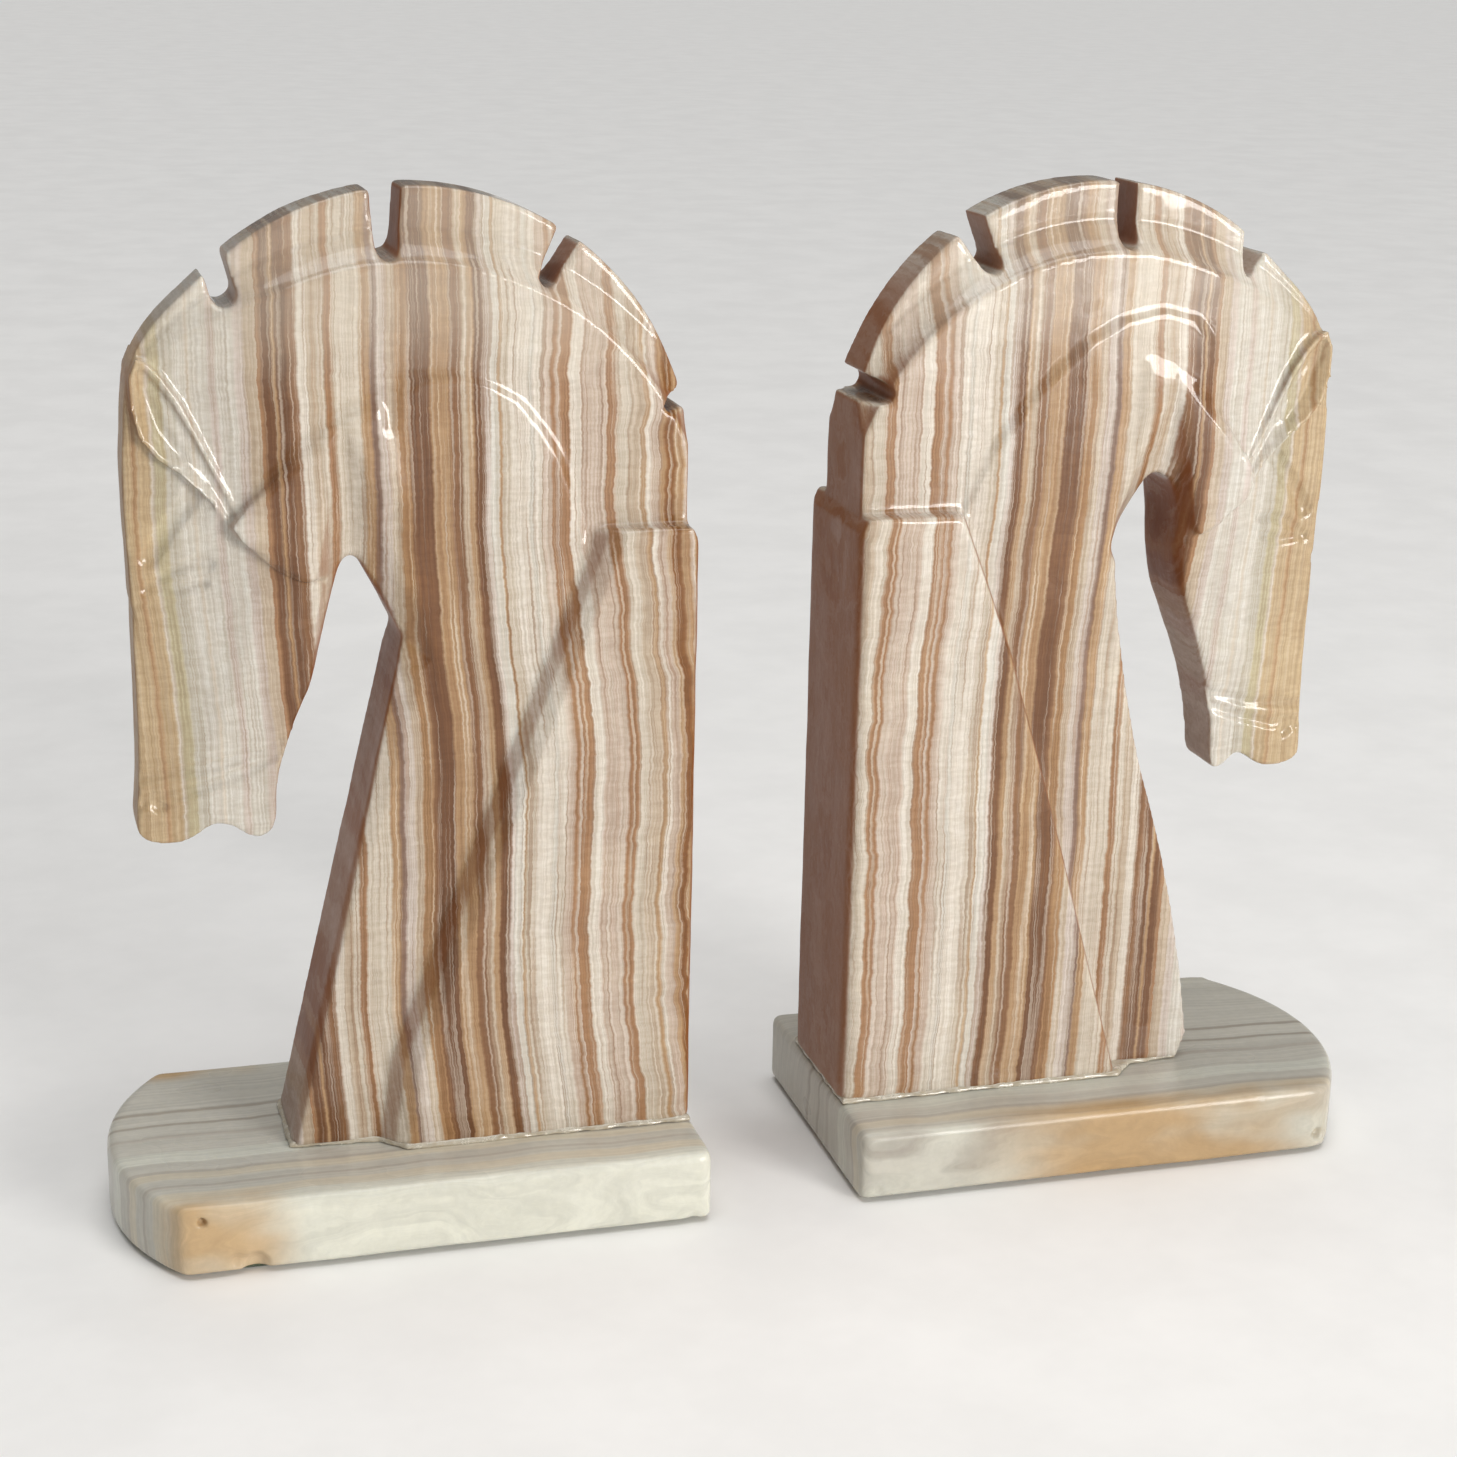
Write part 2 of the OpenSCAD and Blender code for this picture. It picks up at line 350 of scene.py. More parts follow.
ear = [(113.4, 187.4), (115.1, 183.6), (114.9, 178), (113.4, 171.8), (110, 167.4), (105.3, 164.2),
       (100.2, 159), (96, 152.6), (93.4, 148.6), (95, 156), (98.4, 164), (101.8, 171.8), (105.2, 178.8),
       (108.6, 183.8), (111.2, 186.6)]
earSetup = {"root": 5.5, "rim": 10.6, "rimWidth": 2.6, "hollow": 1.9}
heads = {"left": leftHead, "right": rightHead}


def profileOutline(shape):
    centre, radius, backCut = headShape["maneCentre"], headShape["maneRadius"], headShape["backCut"]
    backTurn = math.degrees(math.acos((backCut - centre[0]) / radius))
    mane = arcPoints(centre, radius, backTurn, headShape["maneEnd"], headShape["maneSteps"])
    front = softLine(forehead + noseLine[:4]) + softLine(noseLine[4:] + muzzle + shape["jaw"], 2)
    foot = footHeight / mm
    return [(backCut, foot)] + mane + front + shape["neckFront"] + [(chestFoot[0], foot)]


def slotCutter(mouth, bottom, mouthHalf, bottomHalf):  # a saw cut with a rounded bottom
    run = Vector((bottom[0] - mouth[0], bottom[1] - mouth[1])).normalized()
    across = Vector((-run.y, run.x))
    mouthEnds = [Vector(mouth) + across * mouthHalf * side for side in (1, -1)]
    start = math.degrees(math.atan2(-across.y, -across.x))
    bottomRound = arcPoints(bottom, bottomHalf, start, start + 180, 8)
    return slab([tuple(end) for end in mouthEnds] + bottomRound, headShape["cutReach"])


def coveCutter(side):  # the hollowed bevel that leaves a thin crest round the mane
    profile, centre = headShape["coveProfile"], headShape["coveCentre"]
    bpy.ops.object.select_all(action="DESELECT")
    bpy.ops.mesh.primitive_circle_add(vertices=len(profile), fill_type="NGON")
    cutter = bpy.context.object
    for vertex, (radius, depth) in zip(cutter.data.vertices, profile):
        vertex.co = ((centre[0] + radius) * mm, side * depth * mm, centre[1] * mm)
    editAll(cutter)
    bpy.ops.mesh.spin(steps=headShape["coveSteps"], angle=math.pi, axis=(0, 1, 0),
                      center=(centre[0] * mm, 0, centre[1] * mm))
    bpy.ops.mesh.select_all(action="SELECT")
    bpy.ops.mesh.remove_doubles(threshold=1e-6)
    bpy.ops.mesh.normals_make_consistent(inside=False)
    leaveEdit()
    return cutter


def makeBlock(edge, stepRun):  # the rear block, with its step sawn down both sides in two facets
    half, top = blockShape["half"], blockShape["top"]
    slopeFrom, slopeIn = blockShape["topSlope"]
    bookFace = blockShape["bookFace"]
    outline = [(bookFace, footHeight / mm), (bookFace, slopeFrom), (slopeIn, top)]
    block = slab(outline + [(x + stepRun, z) for x, z in edge], half)
    middleShare, middleHalf = blockShape["stepMiddle"]
    facets = [(0, half, stepRun * middleShare, middleHalf),
              (stepRun * middleShare, middleHalf, stepRun, blockShape["stepEnd"])]
    for side in (-1, 1):
        for (x1, z1), (x2, z2) in zip(edge[:-1], edge[1:]):
            for fromX, fromY, toX, toY in facets:
                start = Vector((x1 + fromX, side * fromY, z1))
                along = Vector((x2 - x1, 0, z2 - z1))
                across = Vector((toX - fromX, side * (toY - fromY), 0))
                normal = along.cross(across)
                if normal.x < 0:
                    normal.negate()
                sawOff(block, start, normal)

    def isBookEdge(a, b):
        return abs(a.x - b.x) < 0.1 and a.x < 1 and abs(a.z - b.z) > 50 and abs(a.y) > half - 1

    roundEdges(block, isBookEdge, blockShape["bookEdge"])
    roundEdges(block, lambda a, b: min(a.z, b.z) > top - 0.5, blockShape["topEdge"])
    return block


def makeEar(side):
    setup = earSetup
    leaf = loft(ear, side * setup["root"], ear, side * setup["rim"])
    useOnly(leaf)
    bpy.context.tool_settings.mesh_select_mode = (False, False, True)
    for face in leaf.data.polygons:
        face.select = face.center.y * side > (setup["rim"] - 0.1) * mm
    bpy.ops.object.mode_set(mode="EDIT")
    bpy.ops.mesh.inset(thickness=setup["rimWidth"] * mm, depth=-setup["hollow"] * mm)
    leaveEdit()
    return leaf


def makeHead(sideName, shape):
    blank = slab(profileOutline(shape), headShape["neckHalf"])
    for side in (-1, 1):
        cove = coveCutter(side)
        cutWith(blank, cove)
        throwAway(cove)
    plateau = slab(shape["plateau"], headShape["plateauHalf"])
    pivotX, pivotZ = headShape["plateauPivot"]
    for side in (-1, 1):
        pivot = (pivotX, side * headShape["plateauHalf"], pivotZ)
        sawOff(plateau, pivot, (0, side, -headShape["plateauLean"]))
    cheek = slab(shape["cheek"], headShape["cheekHalf"])

    # face planes and jaw taper, then the throat flare and the bevel down the chest
    faceFrom, faceRise = headShape["facePlaneRise"]
    jawFrom, jawRun = headShape["jawPlaneRun"]
    for side in (-1, 1):
        cutters = [prism([(x, side * y, faceFrom) for x, y in headShape["facePlane"]], (0, 0, faceRise)),
                   prism([(jawFrom, side * y, z) for y, z in headShape["jawPlane"]], (jawRun, 0, 0))]
        for cutter in cutters:
            cutWith(blank, cutter)
            cutWith(plateau, cutter)
            throwAway(cutter)
    flareNear, flareFar = headShape["flareDepths"]
    cutBothSides([blank, plateau, cheek], shape["flareNear"], flareNear, shape["flareFar"], flareFar)
    if "chestNear" in shape:
        bevelNear, bevelFar = headShape["bevelDepths"]
        cutBothSides([blank, plateau], shape["chestNear"], bevelNear, shape["chestFar"], bevelFar)

    for mouth, bottom, mouthHalf, bottomHalf in shape["slots"]:
        cutter = slotCutter(mouth, bottom, mouthHalf, bottomHalf)
        cutWith(blank, cutter)
        throwAway(cutter)

    block = makeBlock(shape["blockEdge"], shape["stepRun"])
    drillDowels(blank)
    drillDowels(block)
    return joinParts(sideName + "CarvedHead", [blank, plateau, cheek, block, makeEar(-1), makeEar(1)])


grooves = {  # incised lines on both sides of a head: points, width and depth in mm
    "ear base": ([(112.6, 184.5), (107.6, 178), (103.6, 171), (99.8, 163.4), (96, 155.4)], 1.1, 0.5),
    "ear fold": ([(112, 182), (109.2, 173.5), (105.4, 168)], 1.3, 0.5),
    "brow": ([(103.4, 159.6), (107.6, 154.2), (112.4, 147)], 2.2, 1.0),
    "eye top": ([(100.6, 145.4), (104.2, 145.6), (108.4, 144), (113, 140.6)], 1.4, 0.75),
    "eye under": ([(101.8, 141.6), (106.5, 140.2), (113, 140.6)], 1.3, 0.65),
    "upper lip": ([(116.4, 100.4), (109.2, 101.6), (101.5, 102.3), (96.6, 104), (91, 104.7),
                   (87.6, 106.4)], 1.6, 0.75),
    "mouth": ([(117.4, 94.2), (113.9, 96.8), (109, 96.4), (104.5, 97.7), (99.8, 99), (93.5, 101.4),
               (88.2, 104.6)], 1.6, 0.75),
    "nostril": ([(112, 94.2), (112.8, 94.8)], 1.7, 1.2),
    "cheek line": ([(91.6, 148.2), (87.7, 144.8), (82.8, 142), (78, 141.4)], 0.9, 0.3),
    "crest line": (arcPoints((60, 143), 69, 40, 138, 40), 0.9, 0.3),
}


def carveLines(piece):
    places = meshPlaces(piece)
    depth = np.zeros(len(places))
    for line, width, deep in grooves.values():
        gap = distanceToLine(places, line) / width
        depth = np.maximum(depth, deep * np.clip(1 - gap ** 2, 0, 1))
    normals = np.empty(len(places) * 3)
    piece.data.vertices.foreach_get("normal", normals)
    facesSide = np.abs(normals.reshape(-1, 3)[:, 1]) > 0.6
    weighVertices(piece, "lines", np.where(facesSide & (np.abs(places[:, 1]) > 5), depth, 0))
    carve = piece.modifiers.new("lines", "DISPLACE")
    carve.vertex_group = "lines"
    carve.mid_level = 0
    carve.strength = -mm
    applyAll(piece)


def softenPart(piece, name, inside, passes):
    weighVertices(piece, name, inside.astype(float))
    rub = piece.modifiers.new(name, "SMOOTH")
    rub.vertex_group = name
    rub.factor = 0.5
    rub.iterations = passes
    applyAll(piece)


def unevenSurface(piece, name, size, strength):  # hand work is never quite flat
    lumps = bpy.data.textures.new(name, "CLOUDS")
    lumps.noise_scale = size * mm
    uneven = piece.modifiers.new(name, "DISPLACE")
    uneven.texture = lumps
    uneven.texture_coords = "LOCAL"
    uneven.mid_level = 0.5
    uneven.strength = strength * mm
    applyAll(piece)


def makeOneStone(piece, voxel, passes):
    remesh = piece.modifiers.new("oneStone", "REMESH")
    remesh.mode = "VOXEL"
    remesh.voxel_size = voxel * mm
    polish = piece.modifiers.new("polish", "SMOOTH")
    polish.factor = 0.5
    polish.iterations = passes
    applyAll(piece)


def shadeSmooth(piece):
    piece.data.polygons.foreach_set("use_smooth", [True] * len(piece.data.polygons))
    piece.data.update()


def thinOut(piece, limit):  # keeps the piece under its triangle limit
    triangles = sum(len(face.vertices) - 2 for face in piece.data.polygons)
    if triangles > limit:
        thin = piece.modifiers.new("thin", "DECIMATE")
        thin.ratio = limit / triangles
        applyAll(piece)


def standUp(piece, side, reach=1.0):  # from its own outline to its place on the shelf
    editAll(piece)
    bpy.ops.transform.resize(value=(side * reach, 1, 1), center_override=(0, 0, 0))
    bpy.ops.transform.translate(value=(side * bookEnd, 0, 0))
    if side < 0:
        bpy.ops.mesh.flip_normals()
    leaveEdit()


# the mark places the painted shade of the banded stone
def markAlongShelf(piece):  # 1 where the surface faces along the shelf, 0 where it faces the front or up
    normals = np.empty(len(piece.data.vertices) * 3)
    piece.data.vertices.foreach_get("normal", normals)
    mark = piece.data.attributes.new("alongShelf", "FLOAT", "POINT")
    mark.data.foreach_set("value", np.abs(normals.reshape(-1, 3)[:, 0]))


def settle(piece, sideName, node, material):
    shadeSmooth(piece)
    piece.data.materials.clear()
    piece.data.materials.append(material)
    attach(piece, sideName + "_bookend")
    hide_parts(sideName + "_" + node)


def tone(code):  # a colour as written on a chart, made linear
    parts = [int(code[i:i + 2], 16) / 255 for i in (0, 2, 4)]
    return [p / 12.92 if p <= 0.04045 else ((p + 0.055) / 1.055) ** 2.4 for p in parts] + [1]


def addNode(tree, kind, settings=None, inputs=None):
    made = tree.nodes.new("ShaderNode" + kind)
    for name, value in (settings or {}).items():
        setattr(made, name, value)
    for name, value in (inputs or {}).items():
        if isinstance(value, bpy.types.NodeSocket):
            tree.links.new(value, made.inputs[name])
        else:
            made.inputs[name].default_value = value
    return made


def calc(tree, operation, first, second=0.0, third=0.0):
    return addNode(tree, "Math", {"operation": operation}, {0: first, 1: second, 2: third}).outputs[0]


def ease(tree, value, low, high, lowTo=0.0, highTo=1.0):
    made = addNode(tree, "MapRange", {"interpolation_type": "SMOOTHSTEP"},
                   {"Value": value, "From Min": low, "From Max": high, "To Min": lowTo, "To Max": highTo})
    return made.outputs["Result"]


def placeInMm(tree, given):
    inMm = addNode(tree, "VectorMath", {"operation": "SCALE"}, {0: given.outputs["Place"], "Scale": 1 / mm})
    return addNode(tree, "SeparateXYZ", None, {0: inMm.outputs[0]}).outputs


def fromBookEnd(tree, x):
    return calc(tree, "SUBTRACT", calc(tree, "ABSOLUTE", x), bookEnd / mm)


def centred(tree, value):
    return calc(tree, "SUBTRACT", value, 0.5)


def grain(tree, along, across, up, scales, detail=2.0, rough=0.5):  # noise, with a scale per mm on each axis
    stretched = [calc(tree, "MULTIPLY", value, scale) for value, scale in zip((along, across, up), scales)]
    place = addNode(tree, "CombineXYZ", None, {0: stretched[0], 1: stretched[1], 2: stretched[2]}).outputs[0]
    noise = addNode(tree, "TexNoise", None, {
        "Vector": place, "Scale": 1.0, "Detail": detail, "Roughness": rough})
    return noise.outputs[0]


def blendColour(tree, kind, share, first, second):
    made = addNode(tree, "Mix", {"data_type": "RGBA", "blend_type": kind})
    for socket, value in zip((made.inputs[0], made.inputs[6], made.inputs[7]), (share, first, second)):
        if isinstance(value, bpy.types.NodeSocket):
            tree.links.new(value, socket)
        else:
            socket.default_value = value
    return made.outputs[2]


def timesTone(tree, colour, red, green, blue):
    factor = addNode(tree, "CombineXYZ", None, {0: red, 1: green, 2: blue}).outputs[0]
    return blendColour(tree, "MULTIPLY", 1.0, colour, factor)


def bandRamp(tree, share, bands, tones):  # a run of stone layers, each with its width in mm and its tone
    ramp = addNode(tree, "ValToRGB", None, {0: share})
    whole = sum(width for name, width in bands)
    stops = []
    start = 0.0
    for name, width in bands:
        soft = min(0.28, width * 0.3)
        stops.append((start + soft, name))
        stops.append((start + width - soft, name))
        start += width
    elements = ramp.color_ramp.elements
    elements[0].position = stops[0][0] / whole
    elements[0].color = tones[stops[0][1]]
    elements[1].position = stops[-1][0] / whole
    elements[1].color = tones[stops[-1][1]]
    for place, name in stops[1:-1]:
        element = elements.new(place / whole)
        element.color = tones[name]
    return ramp.outputs[0]


def newGroup(name, inputs, outputs):
    group = bpy.data.node_groups.new(name, "ShaderNodeTree")
    for direction, sockets in (("INPUT", inputs), ("OUTPUT", outputs)):
        for socketName, kind in sockets:
            group.interface.new_socket(name=socketName, in_out=direction, socket_type="NodeSocket" + kind)
    return group, group.nodes.new("NodeGroupInput"), group.nodes.new("NodeGroupOutput")


bandedTones = {name: tone(code) for name, code in {
    "cream": "E9E1D6", "ivory": "DFD5C7", "sand": "D5C6B4", "rose": "D8C8BA", "lilac": "DDD2C9",
    "frost": "E4DFD6", "greige": "D8D2C6", "tan": "C8AC8C", "clay": "BC9A7B", "gold": "BE9E7B",
    "brown": "A68467", "umber": "957256", "rust": "A2784C", "mauve": "A68E80", "amber": "D3BFA1",
    "olive": "D0C6AC",
}.items()}

layerStack = [  # layers of the banded stone from the book end to the nose, each run 30 mm long
    [("tan", 2.5), ("rose", 1), ("tan", 2), ("rust", 2), ("tan", 1), ("rose", 2), ("cream", 1), ("tan", 1),
     ("sand", 2.5), ("ivory", 2.8), ("clay", 2.2), ("rose", 5.3), ("cream", 2.4), ("clay", 2.3)],
    [("rose", 0.6), ("clay", 1), ("rose", 1.8), ("cream", 1.8), ("frost", 1), ("cream", 3.8), ("ivory", 2),
     ("tan", 0.4), ("frost", 1.9), ("lilac", 1), ("umber", 2.1), ("tan", 1.3), ("sand", 1.3), ("brown", 2.3),
     ("tan", 3.9), ("umber", 3.8)],
    [("brown", 0.7), ("gold", 2.4), ("sand", 1.7), ("lilac", 2), ("mauve", 1.2), ("tan", 2),
     ("ivory", 5.4), ("clay", 1.6), ("ivory", 1.4), ("sand", 2), ("cream", 2),
     ("brown", 1.9), ("umber", 2.2), ("tan", 0.6), ("umber", 2), ("clay", 0.9)],
    [("sand", 2.4), ("lilac", 2), ("frost", 3.6), ("lilac", 1.5), ("frost", 3.6), ("ivory", 0.5),
     ("frost", 2.6), ("greige", 2.6), ("olive", 2.2), ("ivory", 0.8), ("amber", 2.6), ("tan", 1),
     ("amber", 4.6)],
]

bandedOnyx = {  # lengths in mm, ranges as (from, to)
    "runLength": 30.0,
    "neckLeanOver": (165, 95),
    "footLeanOver": (55, 15),
    "sway": 4.0,
    "lumps": (3.4, 1.0),  # the layers are lumpier towards the book end
    "lumpsOver": (8, 50),
    "jitter": 0.8,
    "paleLine": "EFE7DC",
    "darkLine": "A67F5C",
    "quietOver": (84, 92),  # the pale stone of the face has fainter lines
    "quietShare": 0.3,
    "cloud": "F0EBE0",
    # painted highlight: the crest entries below lighten the top of the head, where the light falls
    "crestHighlightTone": "E6DCCB",  # the stone is lightened towards the crest
    "crestHighlightOver": (176, 200),
    "crestHighlightShare": 0.28,
    # painted shade: the entries below tint the faces that look along the shelf deep brown and give them less
    # polish
    "paintedShadeTone": "985A34",  # tint of the faces that look along the shelf, with less polish
    "paintedShadeOver": (0.55, 0.9),
    "paintedShadeShares": (0.76, 0.34),  # in the neck, in the face
    "paintedShadePaleOver": (84, 95),
    "roughness": (0.2, 0.32),
    "alongShelfRoughness": 0.25,
    "coat": 0.7,
    "alongShelfCoat": 0.1,
}


def makeBandedGroup():
    setup = bandedOnyx
    group, given, made = newGroup(
        "bandedOnyx",
        [("Place", "Vector"), ("Along Shelf", "Float"), ("Spread", "Float"), ("Offset", "Float"),
         ("Neck Lean", "Float"), ("Foot Lean", "Float"), ("Shade", "Float"), ("Gamma", "Float")],
        [("Color", "Color"), ("Roughness", "Float"), ("Height", "Float"), ("Coat", "Float")])
    x, y, z = placeInMm(group, given)

    # which layer of the stone each place lies in
    layer = calc(group, "MULTIPLY_ADD", fromBookEnd(group, x), given.outputs["Spread"],
                 given.outputs["Offset"])
    neckLean = calc(group, "MULTIPLY", ease(group, z, *setup["neckLeanOver"]), given.outputs["Neck Lean"])
    footLean = calc(group, "MULTIPLY", ease(group, z, *setup["footLeanOver"]), given.outputs["Foot Lean"])
    layer = calc(group, "ADD", layer, calc(group, "ADD", neckLean, footLean))
    sway = centred(group, grain(group, x, y, z, (0.008, 0.02, 0.02), 2))
    lumps = centred(group, grain(group, x, y, z, (0.03, 0.1, 0.1), 3))
    lumpSize = ease(group, layer, *setup["lumpsOver"], *setup["lumps"])
    jitter = centred(group, grain(group, x, y, z, (0.2, 0.6, 0.6), 3, 0.6))
    layer = calc(group, "MULTIPLY_ADD", sway, setup["sway"], layer)
    layer = calc(group, "ADD", layer, calc(group, "MULTIPLY", lumps, lumpSize))
    layer = calc(group, "MULTIPLY_ADD", jitter, setup["jitter"], layer)

    colour = None
    runLength = setup["runLength"]
    for number, bands in enumerate(layerStack):
        runStart = runLength * number
        share = calc(group, "DIVIDE", calc(group, "SUBTRACT", layer, runStart), runLength)
        ramp = bandRamp(group, share, bands, bandedTones)
        if colour is None:
            colour = ramp
        else:
            beyond = calc(group, "GREATER_THAN", layer, runStart)
            colour = blendColour(group, "MIX", beyond, colour, ramp)

    # fine lines, fibres and clouds in the layers
    lines = grain(group, layer, y, z, (1.3, 0.07, 0.012), 5, 0.65)
    fineLines = grain(group, layer, y, z, (2.3, 0.1, 0.02), 4, 0.7)
    fibres = grain(group, layer, y, z, (0.25, 0.6, 0.9), 3, 0.65)
    clouds = grain(group, x, y, z, (0.04, 0.05, 0.05), 3, 0.6)
    lineStrength = ease(group, layer, *setup["quietOver"], 1.0, setup["quietShare"])
    paleLines = calc(group, "MULTIPLY", ease(group, lines, 0.5, 0.64, 0.0, 0.5), lineStrength)
    darkLines = calc(group, "MULTIPLY", ease(group, lines, 0.48, 0.36, 0.0, 0.42), lineStrength)
    colour = blendColour(group, "MIX", paleLines, colour, tone(setup["paleLine"]))
    colour = blendColour(group, "MIX", darkLines, colour, tone(setup["darkLine"]))
    shade = calc(group, "MULTIPLY", ease(group, fineLines, 0.32, 0.66, 0.85, 1.1),
                 ease(group, fibres, 0.3, 0.7, 0.93, 1.05))
    colour = timesTone(group, colour, calc(group, "POWER", shade, 0.85), shade,
                       calc(group, "POWER", shade, 1.2))  # darker lines are also warmer
    colour = blendColour(group, "SOFT_LIGHT", ease(group, clouds, 0.45, 0.75, 0.0, 0.3), colour,
                         tone(setup["cloud"]))
    colour = addNode(group, "Gamma", None, {"Color": colour, "Gamma": given.outputs["Gamma"]}).outputs[0]
    # painted highlight: lighter towards the crest
    crest = ease(group, z, *setup["crestHighlightOver"], 0.0, setup["crestHighlightShare"])
    colour = blendColour(group, "MIX", crest, colour, tone(setup["crestHighlightTone"]))

    # painted shade and lower polish on the faces that look along the shelf
    paintedShadeSides = ease(group, given.outputs["Along Shelf"], *setup["paintedShadeOver"])
    paintedShadeStrength = ease(group, layer, *setup["paintedShadePaleOver"], *setup["paintedShadeShares"])
    colour = blendColour(group, "MIX", calc(group, "MULTIPLY", paintedShadeSides, paintedShadeStrength), colour,
                         tone(setup["paintedShadeTone"]))
    whole = given.outputs["Shade"]
    colour = timesTone(group, colour, whole, whole, whole)
    roughness = calc(group, "MULTIPLY_ADD", paintedShadeSides, setup["alongShelfRoughness"],
                     ease(group, clouds, 0.3, 0.7, *setup["roughness"]))
    coat = calc(group, "MULTIPLY_ADD", paintedShadeSides, setup["alongShelfCoat"] - setup["coat"], setup["coat"])

    dimples = grain(group, x, y, z, (0.55, 0.55, 0.26), 2, 0.55)
    ripple = grain(group, x, y, z, (0.12, 0.12, 0.1), 1, 0.5)
    group.links.new(colour, made.inputs["Color"])
    group.links.new(roughness, made.inputs["Roughness"])
    group.links.new(coat, made.inputs["Coat"])
    group.links.new(calc(group, "MULTIPLY_ADD", ripple, 3.0, dimples), made.inputs["Height"])
    return group


def shaderFrom(name, group, groupInputs, bumpDepth, constants):
    material = bpy.data.materials.new(name)
    material.use_nodes = True
    tree = material.node_tree
    tree.nodes.clear()
    surfacePlace = addNode(tree, "TexCoord")
    pattern = addNode(tree, "Group", {"node_tree": group}, {"Place": surfacePlace.outputs["Object"]})
    if "Along Shelf" in pattern.inputs:
        marked = addNode(tree, "Attribute", {"attribute_name": "alongShelf"})
        tree.links.new(marked.outputs["Fac"], pattern.inputs["Along Shelf"])
    for socket, value in groupInputs.items():
        pattern.inputs[socket].default_value = value
    bump = addNode(tree, "Bump", None, {
        "Height": pattern.outputs["Height"], "Distance": bumpDepth * mm, "Strength": 1.0})
    surface = addNode(tree, "BsdfPrincipled", None, {
        "Base Color": pattern.outputs["Color"], "Roughness": pattern.outputs["Roughness"],
        "Normal": bump.outputs[0]})
    if "Coat" in pattern.outputs:
        tree.links.new(pattern.outputs["Coat"], surface.inputs["Coat Weight"])
    for socket, value in constants.items():
        surface.inputs[socket].default_value = value
    addNode(tree, "OutputMaterial", None, {"Surface": surface.outputs[0]})
    return material


paleTones = {name: tone(code) for name, code in {
    "milk": "D9D8CB", "haze": "CCC8BC", "ash": "BDB6AA", "slate": "ADA598", "bone": "D6CDB9",
}.items()}

paleStack = [  # layers of the pale stone from the front edge to the back, with their widths in mm
    ("milk", 3), ("bone", 3.5), ("haze", 2.5), ("ash", 1), ("haze", 3), ("bone", 3), ("ash", 1.2),
    ("haze", 4), ("milk", 5), ("haze", 7), ("ash", 1.6), ("haze", 5), ("slate", 1.2), ("haze", 5.5),
    ("slate", 1.5), ("haze", 22),
]

paleOnyx = {  # lengths in mm, ranges as (from, to)
    "frontEdge": -35.0,
    "stackDepth": 70.0,
    "sway": 12.0,
    "lumps": 3.0,
    "skinOver": (27, 33),  # the outer skin of the slab, measured from its middle
    "cloud": "DEDDCF",
    "amber": "C49E69",
    "amberShare": 0.82,
    "amberFade": (1.25, 0.4),
    "roughness": (0.26, 0.4),
}


def makePaleGroup():
    setup = paleOnyx
    group, given, made = newGroup(
        "paleOnyx",
        [("Place", "Vector"), ("Depth", "Float"), ("Amber Middle", "Float"), ("Amber Reach", "Float"),
         ("Shade", "Float")],
        [("Color", "Color"), ("Roughness", "Float"), ("Height", "Float")])
    x, y, z = placeInMm(group, given)
    sway = centred(group, grain(group, x, y, z, (0.012, 0.01, 0.03), 2))
    lumps = centred(group, grain(group, x, y, z, (0.05, 0.04, 0.12), 3))
    layer = calc(group, "ADD", y, given.outputs["Depth"])
    layer = calc(group, "MULTIPLY_ADD", sway, setup["sway"], layer)
    layer = calc(group, "MULTIPLY_ADD", lumps, setup["lumps"], layer)
    share = calc(group, "DIVIDE", calc(group, "SUBTRACT", layer, setup["frontEdge"]), setup["stackDepth"])
    colour = bandRamp(group, share, paleStack, paleTones)
    streaks = grain(group, x, layer, z, (0.01, 1.1, 0.05), 5, 0.7)
    clouds = grain(group, x, y, z, (0.035, 0.05, 0.07), 2, 0.45)
    flecks = grain(group, x, y, z, (0.5, 0.5, 0.5), 3, 0.6)
    shade = calc(group, "MULTIPLY", ease(group, streaks, 0.3, 0.7, 0.88, 1.07), given.outputs["Shade"])
    shade = calc(group, "MULTIPLY", shade, ease(group, flecks, 0.3, 0.7, 0.97, 1.03))

    # pale clouds and the amber stain in the outer skin
    skin = ease(group, calc(group, "ABSOLUTE", y), *setup["skinOver"])
    away = calc(group, "SUBTRACT", fromBookEnd(group, x), given.outputs["Amber Middle"])
    reach = calc(group, "DIVIDE", calc(group, "ABSOLUTE", away), given.outputs["Amber Reach"])
    near = ease(group, reach, *setup["amberFade"])
    stain = calc(group, "MULTIPLY", calc(group, "MULTIPLY", skin, near), ease(group, clouds, 0.26, 0.6))
    paleClouds = calc(group, "MULTIPLY", skin, ease(group, clouds, 0.6, 0.4, 0.0, 0.5))
    colour = blendColour(group, "MIX", paleClouds, colour, tone(setup["cloud"]))
    colour = blendColour(group, "MIX", calc(group, "MULTIPLY", stain, setup["amberShare"]), colour,
                         tone(setup["amber"]))
    colour = timesTone(group, colour, shade, shade, shade)
    dimples = grain(group, x, y, z, (0.2, 0.2, 0.2), 2)
    group.links.new(colour, made.inputs["Color"])
    group.links.new(ease(group, clouds, 0.3, 0.7, *setup["roughness"]), made.inputs["Roughness"])
    group.links.new(calc(group, "MULTIPLY_ADD", flecks, 0.3, dimples), made.inputs["Height"])
    return group


